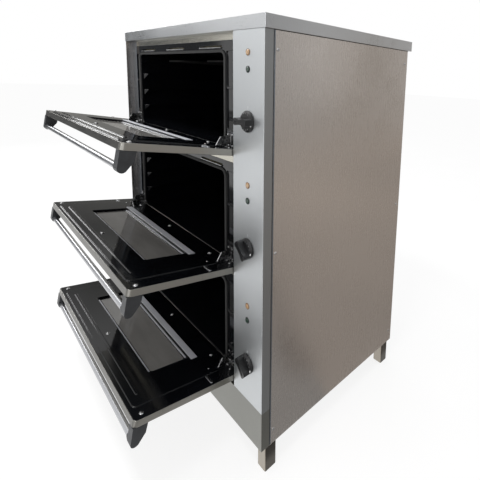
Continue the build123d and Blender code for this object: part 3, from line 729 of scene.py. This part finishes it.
def side_seams():
    """Dark joints round the right side panel, the top one also painted shadow under the worktop,
    and a bright strip on the fold beside the column: painted highlight.
    """
    low, high = JOINT_Z
    middle = (low + high) / 2
    y_mid = (JOINT_Y + PANEL_REAR_Y) / 2
    strips = (("side_joint", JOINT_Y + JOINT_W / 2, middle, JOINT_W, high - low, "groove"),
              ("side_fold_highlight", JOINT_Y + FOLD_HIGHLIGHT_W, middle, FOLD_HIGHLIGHT_W, high - low, "trim_steel"),
              ("top_joint_shadow", y_mid, high - TOP_SHADOW_H / 2, PANEL_REAR_Y - JOINT_Y, TOP_SHADOW_H,
               "groove"))
    for name, y, z, wide, tall, look in strips:
        bm = bmesh.new()
        x0, y0 = wide / 2, tall / 2
        slab(bm, [(-x0, -y0), (x0, -y0), (x0, y0), (-x0, y0)], -0.0001, 0.0003, on_right(y, z),
             0.0001)
        new_object(name, bm, "cabinet", look)


# Floor, light and camera

def seen(nodes, links):
    """One for the rays of the camera, of reflections and of glass, else zero."""
    path = nodes.new("ShaderNodeLightPath")
    shown = path.outputs["Is Camera Ray"]
    for name in ("Is Glossy Ray", "Is Transmission Ray"):
        node = nodes.new("ShaderNodeMath")
        node.operation = "MAXIMUM"
        links.new(shown, node.inputs[0])
        links.new(path.outputs[name], node.inputs[1])
        shown = node.outputs[0]
    return shown


def floor():
    """Pale floor that is white where it is seen and keeps the shadow of the oven."""
    far = FLOOR_REACH
    mesh = bpy.data.meshes.new("floor")
    mesh.from_pydata([(-far, -far, 0), (far, -far, 0), (far, far, 0), (-far, far, 0)], [],
                     [(0, 1, 2, 3)])
    ground = bpy.data.objects.new("floor", mesh)
    bpy.context.collection.objects.link(ground)
    s = Shader("floor", 0.9, 0.0, Specular_IOR_Level=0.0)
    s.colour(s.mix(s.ramp(s.noise(3), 0.3, 0.7), (0.84, 0.84, 0.84, 1), (0.88, 0.88, 0.88, 1)))
    glow = s.add("ShaderNodeEmission")
    glow.inputs["Strength"].default_value = FLOOR_WHITE
    blend = s.add("ShaderNodeMixShader")
    s.link(s.math("MULTIPLY", seen(s.nodes, s.tree.links), FLOOR_SHARE), blend.inputs["Fac"])
    s.link(s.bsdf.outputs[0], blend.inputs[1])
    s.link(glow.outputs[0], blend.inputs[2])
    s.link(blend.outputs[0], s.nodes["Material Output"].inputs["Surface"])
    mesh.materials.append(s.mat)


def world():
    """White surroundings, dimmer as a light than where they are seen."""
    studio = bpy.data.worlds.new("studio")
    bpy.context.scene.world = studio
    studio.use_nodes = True
    nodes, links = studio.node_tree.nodes, studio.node_tree.links
    strength = nodes.new("ShaderNodeMapRange")
    strength.inputs["To Min"].default_value = WORLD_FILL
    strength.inputs["To Max"].default_value = 1.0
    links.new(seen(nodes, links), strength.inputs["Value"])
    nodes["Background"].inputs["Color"].default_value = (1, 1, 1, 1)
    links.new(strength.outputs["Result"], nodes["Background"].inputs["Strength"])


def screen(name, corners, low, high, uneven=0.12, scale=0.9):
    """Grey card that only reflections show; its colour fades from the low to the high edge."""
    mesh = bpy.data.meshes.new(name)
    mesh.from_pydata(corners, [], [(0, 1, 2, 3)])
    card = bpy.data.objects.new(name, mesh)
    bpy.context.collection.objects.link(card)
    s = Shader(name, 0.9)
    height = s.add("ShaderNodeSeparateXYZ")
    s.link(s.coords, height.inputs[0])
    levels = [corner[2] for corner in corners]
    rise = s.ramp(height.outputs["Z"], min(levels), max(levels))
    patches = s.ramp(s.noise(scale, detail=2), 0.35, 0.65, -uneven, uneven)
    glow = s.add("ShaderNodeEmission")
    s.link(s.mix(s.math("ADD", rise, patches), low, high), glow.inputs["Color"])
    s.link(glow.outputs[0], s.nodes["Material Output"].inputs["Surface"])
    mesh.materials.append(s.mat)
    card.visible_camera = card.visible_diffuse = card.visible_shadow = False
    card.visible_transmission = False


def area_light(name, place, target, size, power):
    """Rectangular lamp that faces a point."""
    data = bpy.data.lights.new(name, "AREA")
    data.shape = "RECTANGLE"
    data.size, data.size_y = size
    data.energy = power
    lamp = bpy.data.objects.new(name, data)
    bpy.context.collection.objects.link(lamp)
    lamp.location = place
    aim = Vector(target) - Vector(place)
    lamp.rotation_mode = "QUATERNION"
    lamp.rotation_quaternion = aim.to_track_quat("-Z", "Y")


def camera():
    """Camera whose shift gives the off-centre framing of the photograph."""
    data = bpy.data.cameras.new("camera")
    data.sensor_width = SENSOR
    data.sensor_fit = "HORIZONTAL"
    data.lens = FOCAL / PICTURE * SENSOR
    data.shift_x = (PICTURE / 2 - CENTRE[0]) / PICTURE
    data.shift_y = (CENTRE[1] - PICTURE / 2) / PICTURE
    data.clip_start, data.clip_end = 0.05, 100
    cam = bpy.data.objects.new("camera", data)
    bpy.context.collection.objects.link(cam)
    right = Vector(CAMERA_RIGHT).normalized()
    up = Vector(CAMERA_UP)
    up = (up - right * up.dot(right)).normalized()
    back = right.cross(up)
    turn = Matrix((right, up, back)).transposed()
    cam.matrix_world = Matrix.Translation(CAMERA_AT) @ turn.to_4x4()
    bpy.context.scene.camera = cam


dress_frame()
for deck in range(DECKS):
    door_details(deck)
    frame_details(deck)
    knob_details(deck)
    ledge_ends(deck)
    vent_highlight_rims(deck)
    handle_collars(deck)
lamp_details()
left_trim()
side_seams()
floor()
world()
for name, settings in CARDS.items():
    screen(name, *settings)
for name, settings in LIGHTS.items():
    area_light(name, *settings)
camera()
bpy.context.scene.view_settings.view_transform = "Standard"
